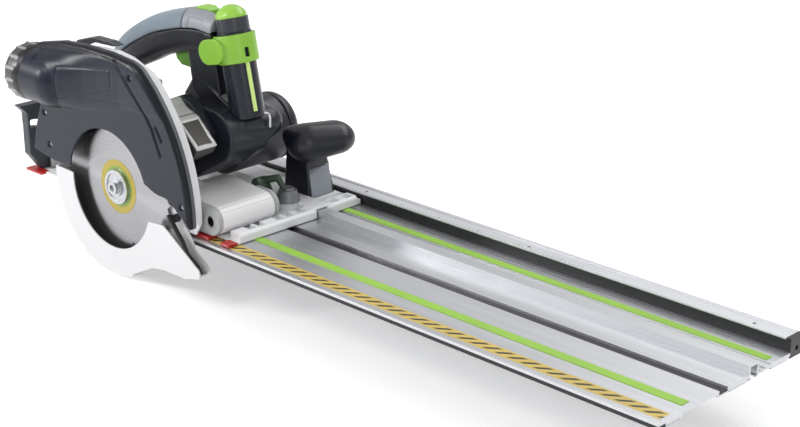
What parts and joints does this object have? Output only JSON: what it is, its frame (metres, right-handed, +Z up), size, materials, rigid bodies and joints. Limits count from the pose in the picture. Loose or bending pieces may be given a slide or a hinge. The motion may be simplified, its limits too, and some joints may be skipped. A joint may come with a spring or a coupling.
{
  "type": "track plunge saw",
  "caption": "Hand-held circular saw with pendulum guard, plunge hinge and bevel base, sliding on its own cross-cutting guide rail.",
  "frame": {"origin": "on the rail's cutting edge, in the plane the rail rests on, straight below the blade axis when the saw is at the rear of the rail at full depth", "axes": "+X along the rail in the cutting direction, +Y from the blade to the motor side, +Z up"},
  "size_m": [0.818, 0.2384, 0.2686],
  "materials": {
    "rail_extrusion": "fine brushed anodised",
    "splinter_strip": "matt black",
    "glide_strips": "satin green",
    "groove_strip": "matt black",
    "grip_strips": "matt black",
    "warning_film": "printed film",
    "cord_housing": "satin black",
    "housing_cover": "satin anodised",
    "rail_end_caps": "satin black",
    "return_cord": "woven sheath over rubber",
    "fixed_stop": "satin black",
    "angle_stop": "satin black",
    "base_plate": "light grey coated casting",
    "rear_quadrant": "dark coated casting",
    "cut_indicators": "red",
    "guide_cam_front": "satin black",
    "guide_cam_rear": "satin black",
    "front_grip": "satin black",
    "grip_inlays": "satin grey",
    "base_screws": "zinc plated",
    "tilt_frame": "light grey coated casting",
    "hinge_pin": "ground steel",
    "bevel_knob": "satin black",
    "gearcase": "die cast",
    "gearcase_cover": "die cast",
    "hinge_arm": "light grey coated casting",
    "guard_back": "white coated casting",
    "guard_cover": "fine grained slate",
    "cover_screws": "zinc plated",
    "motor_housing": "satin black",
    "motor_end_cap": "satin black",
    "stator": "varnished laminations",
    "bearings": "ground steel",
    "handle_shell": "satin black",
    "soft_grip": "soft blue grey",
    "grip_panels": "satin grey",
    "post_shell": "semi gloss black",
    "head_ring": "semi gloss dark grey",
    "head_cap": "green",
    "depth_scale": "pale green",
    "wire_hook": "bright wire",
    "cord_inlet": "matt black",
    "dust_collar": "satin black",
    "blade": "ground steel",
    "blade_ring": "printed ring",
    "flanges": "turned steel",
    "arbor": "ground steel",
    "blade_bolt": "zinc plated",
    "output_gear": "hardened steel",
    "idler_gear": "hardened steel",
    "rotor": "wound and varnished",
    "rotor_pinion": "hardened steel",
    "lower_guard": "white coated aluminium",
    "guard_inner_plate": "sheet steel",
    "guard_bumper": "matt black",
    "guard_lever": "satin dark grey",
    "trigger": "green",
    "plunge_lock": "green",
    "depth_slider": "green",
    "speed_dial": "green"
  },
  "bodies": {
    "rail": {"rail_extrusion": "rail_extrusion", "splinter_strip": "splinter_strip", "glide_strips": "glide_strips", "groove_strip": "groove_strip", "grip_strips": "grip_strips", "warning_film": "warning_film", "cord_housing": "cord_housing", "housing_cover": "housing_cover", "rail_end_caps": "rail_end_caps", "return_cord": "return_cord", "fixed_stop": "fixed_stop"},
    "angle_stop": {"angle_stop": "angle_stop"},
    "base": {"base_plate": "base_plate", "rear_quadrant": "rear_quadrant", "cut_indicators": "cut_indicators", "front_grip": "front_grip", "grip_inlays": "grip_inlays", "base_screws": "base_screws"},
    "guide_cam_front": {"guide_cam_front": "guide_cam_front"},
    "guide_cam_rear": {"guide_cam_rear": "guide_cam_rear"},
    "bevel_carriage": {"tilt_frame": "tilt_frame", "hinge_pin": "hinge_pin"},
    "bevel_knob": {"bevel_knob": "bevel_knob"},
    "saw_unit": {"gearcase": "gearcase", "gearcase_cover": "gearcase_cover", "hinge_arm": "hinge_arm", "guard_back": "guard_back", "guard_cover": "guard_cover", "cover_screws": "cover_screws", "motor_housing": "motor_housing", "motor_end_cap": "motor_end_cap", "stator": "stator", "bearings": "bearings", "handle_shell": "handle_shell", "soft_grip": "soft_grip", "grip_panels": "grip_panels", "post_shell": "post_shell", "head_ring": "head_ring", "head_cap": "head_cap", "depth_scale": "depth_scale", "wire_hook": "wire_hook", "cord_inlet": "cord_inlet"},
    "dust_collar": {"dust_collar": "dust_collar"},
    "blade": {"blade": "blade", "blade_ring": "blade_ring", "flanges": "flanges", "arbor": "arbor", "blade_bolt": "blade_bolt", "output_gear": "output_gear"},
    "idler": {"idler_gear": "idler_gear"},
    "rotor": {"rotor": "rotor", "rotor_pinion": "rotor_pinion"},
    "pendulum_guard": {"lower_guard": "lower_guard", "guard_inner_plate": "guard_inner_plate", "guard_bumper": "guard_bumper"},
    "guard_lever": {"guard_lever": "guard_lever"},
    "trigger": {"trigger": "trigger"},
    "plunge_lock": {"plunge_lock": "plunge_lock"},
    "depth_slider": {"depth_slider": "depth_slider"},
    "speed_dial": {"speed_dial": "speed_dial"}
  },
  "joints": [
    {"name": "base_slide", "type": "slide", "parent": "rail", "child": "base", "axis": [1, 0, 0], "range_m": [0, 0.47]},
    {"name": "angle_stop_slide", "type": "slide", "parent": "rail", "child": "angle_stop", "axis": [1, 0, 0], "range_m": [0, 0.12]},
    {"name": "front_cam_turn", "type": "hinge", "parent": "base", "child": "guide_cam_front", "pos_m": [0.114, 0.112, 0.02], "axis": [0, 0, 1], "range_deg": [-45, 45]},
    {"name": "rear_cam_turn", "type": "hinge", "parent": "base", "child": "guide_cam_rear", "pos_m": [-0.12, 0.112, 0.02], "axis": [0, 0, 1], "range_deg": [-45, 45]},
    {"name": "bevel", "type": "hinge", "parent": "base", "child": "bevel_carriage", "pos_m": [0, 0, 0], "axis": [1, 0, 0], "range_deg": [0, 50]},
    {"name": "bevel_knob_turn", "type": "hinge", "parent": "bevel_carriage", "child": "bevel_knob", "pos_m": [-0.165, 0.04915, 0.03442], "axis": [-1, 0, 0], "range_deg": [-90, 90]},
    {"name": "plunge", "type": "hinge", "parent": "bevel_carriage", "child": "saw_unit", "pos_m": [0.12, 0.046, 0.024], "axis": [0, 1, 0], "range_deg": [0, 28]},
    {"name": "blade_spin", "type": "hinge", "parent": "saw_unit", "child": "blade", "pos_m": [0, -0.004, 0.032], "axis": [0, 1, 0], "continuous": true},
    {"name": "idler_spin", "type": "hinge", "parent": "saw_unit", "child": "idler", "pos_m": [-0.00549, 0.03, 0.05844], "axis": [0, 1, 0], "continuous": true},
    {"name": "rotor_spin", "type": "hinge", "parent": "saw_unit", "child": "rotor", "pos_m": [0.02, 0.1, 0.059], "axis": [0, 1, 0], "continuous": true},
    {"name": "guard_swing", "type": "hinge", "parent": "saw_unit", "child": "pendulum_guard", "pos_m": [0, -0.004, 0.032], "axis": [0, 1, 0], "range_deg": [0, 135], "stiffness_Nm_per_rad": 0.12, "springref_deg": -80.21},
    {"name": "guard_lever_pull", "type": "hinge", "parent": "saw_unit", "child": "guard_lever", "pos_m": [-0.066, 0.008, 0.153], "axis": [0, 1, 0], "range_deg": [-25, 0]},
    {"name": "collar_turn", "type": "hinge", "parent": "saw_unit", "child": "dust_collar", "pos_m": [-0.134, -0.013, 0.125], "axis": [-1, 0, 0], "continuous": true},
    {"name": "trigger_pull", "type": "hinge", "parent": "saw_unit", "child": "trigger", "pos_m": [0.027, 0.075, 0.162], "axis": [0, 1, 0], "range_deg": [0, 7], "stiffness_Nm_per_rad": 1, "springref_deg": -8.59},
    {"name": "lock_push", "type": "slide", "parent": "saw_unit", "child": "plunge_lock", "axis": [1, 0, 0], "range_m": [0, 0.005], "stiffness_N_per_m": 300, "springref_m": -0.004},
    {"name": "depth_set", "type": "slide", "parent": "saw_unit", "child": "depth_slider", "axis": [-0.225, 0, 0.9744], "range_m": [-0.036, 0]},
    {"name": "speed_dial_turn", "type": "hinge", "parent": "saw_unit", "child": "speed_dial", "pos_m": [0.084, 0.096, 0.078], "axis": [0, 1, 0], "range_deg": [0, 270]}
  ],
  "couplings": [
    {"joint": "idler_spin", "follows": "blade_spin", "ratio": -2},
    {"joint": "rotor_spin", "follows": "blade_spin", "ratio": 6.5},
    {"joint": "guard_lever_pull", "follows": "guard_swing", "ratio": -0.185}
  ]
}
